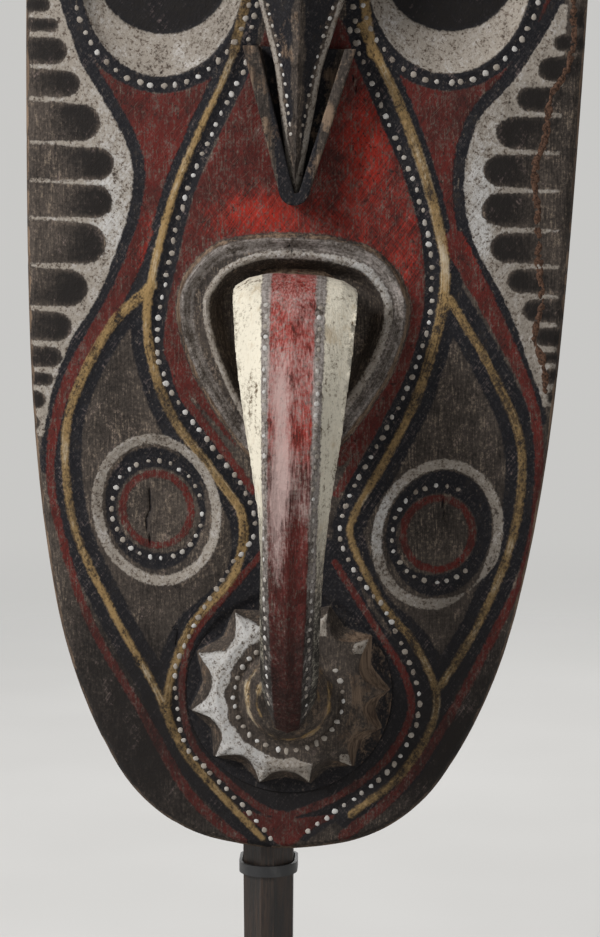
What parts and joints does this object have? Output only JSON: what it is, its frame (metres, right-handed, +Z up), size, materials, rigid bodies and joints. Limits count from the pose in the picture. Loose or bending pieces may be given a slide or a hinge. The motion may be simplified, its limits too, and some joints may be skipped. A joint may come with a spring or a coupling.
{
  "type": "carved wooden face mask",
  "caption": "Tall oval carved wooden mask with a hooked nose, toothed mouth rosette, bird's bill and painted bands, standing by its rear post in a black steel display stand.",
  "frame": {"origin": "on the floor, under the middle of the stand's base, at the felt's underside", "axes": "+Z up, the mask faces -Y, +X to the viewer's right"},
  "size_m": [0.3015, 0.2, 1.1134],
  "materials": {
    "painted_wood": "carved softwood painted with dark grey, red ochre, yellow ochre and chalk white, dry and rubbed",
    "bare_wood": "adzed hardwood, dark and smoked, unpainted",
    "peg_wood": "whittled, unpainted",
    "black_steel": "satin black powder coat",
    "felt": "thin black felt"
  },
  "bodies": {
    "stand": {"base_plate": "black_steel", "base_felt": "felt", "upright_bar": "black_steel", "foot_socket": "black_steel", "collar_strap": "black_steel"},
    "mask": {"face_board": "painted_wood", "hook_nose": "painted_wood", "nose_wedge": "peg_wood", "mouth_rosette": "painted_wood", "upper_bill": "painted_wood", "lower_bill": "painted_wood", "back_post": "bare_wood", "rosette_dowel_left": "peg_wood", "rosette_dowel_right": "peg_wood", "lower_bill_dowel_low": "peg_wood", "lower_bill_dowel_high": "peg_wood", "head_dowel_low": "peg_wood", "head_dowel_high": "peg_wood", "post_peg_1": "peg_wood", "post_peg_2": "peg_wood", "post_peg_3": "peg_wood", "post_peg_4": "peg_wood"}
  },
  "joints": [
    {"name": "mask_lift", "type": "slide", "parent": "stand", "child": "mask", "axis": [0, 0, 1], "range_m": [0, 0.16]}
  ]
}
